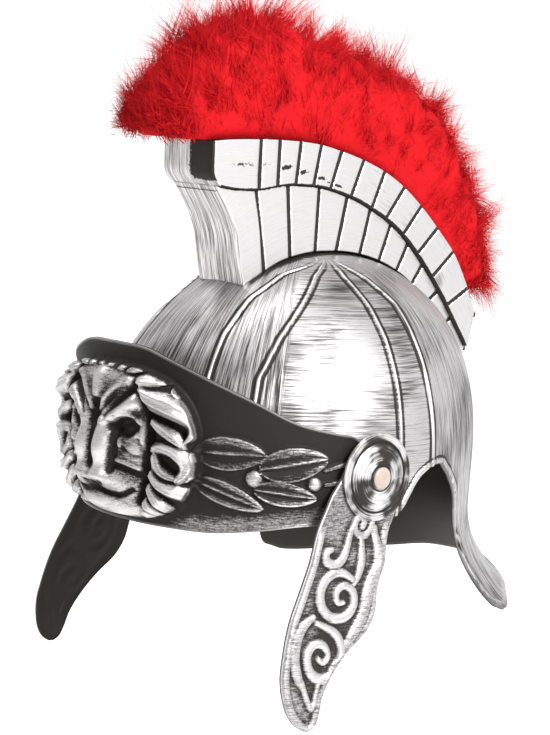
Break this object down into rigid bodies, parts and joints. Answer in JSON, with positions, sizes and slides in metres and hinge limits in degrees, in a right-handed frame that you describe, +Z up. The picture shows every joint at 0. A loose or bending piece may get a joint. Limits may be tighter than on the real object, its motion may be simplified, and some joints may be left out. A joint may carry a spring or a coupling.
{
  "type": "roman legionary helmet",
  "caption": "Hollow helmet with flared neck guard, ear arches, tall plumed crest holder, swinging relief visor and hinged cheek guards on riveted bosses.",
  "frame": {"origin": "top of the head: the highest point inside the skull, where the helmet sits on a head", "axes": "+Z up, -Y to the front, +X to the wearer's left"},
  "size_m": [0.2236, 0.2738, 0.3665],
  "materials": {
    "skull": "silver coated plastic, brushed over with a black wash, matte black inside",
    "crest_holder": "silver coated plastic with black in the joints",
    "plume": "dyed red marabou down",
    "visor": "silver coated plastic, rubbed bright on the relief, black in its hollows",
    "cheek_guard": "silver coated plastic with black in the relief, matte black inside",
    "boss": "silver coated plastic with black flecks",
    "rivet": "plain cream plastic"
  },
  "bodies": {
    "helmet": {"skull": "skull", "crest_holder": "crest_holder", "plume": "plume", "boss_left": "boss", "boss_right": "boss", "rivet_left": "rivet", "rivet_right": "rivet"},
    "visor": {"visor": "visor"},
    "cheek_left": {"cheek_guard_left": "cheek_guard"},
    "cheek_right": {"cheek_guard_right": "cheek_guard"}
  },
  "joints": [
    {"name": "visor_tilt", "type": "hinge", "parent": "helmet", "child": "visor", "pos_m": [0, -0.024, -0.109], "axis": [-1, 0, 0], "range_deg": [-18, 34]},
    {"name": "cheek_left_swing", "type": "hinge", "parent": "helmet", "child": "cheek_left", "pos_m": [0.094, -0.024, -0.109], "axis": [1, 0, 0], "range_deg": [-30, 25]},
    {"name": "cheek_right_swing", "type": "hinge", "parent": "helmet", "child": "cheek_right", "pos_m": [-0.094, -0.024, -0.109], "axis": [1, 0, 0], "range_deg": [-30, 25]}
  ]
}
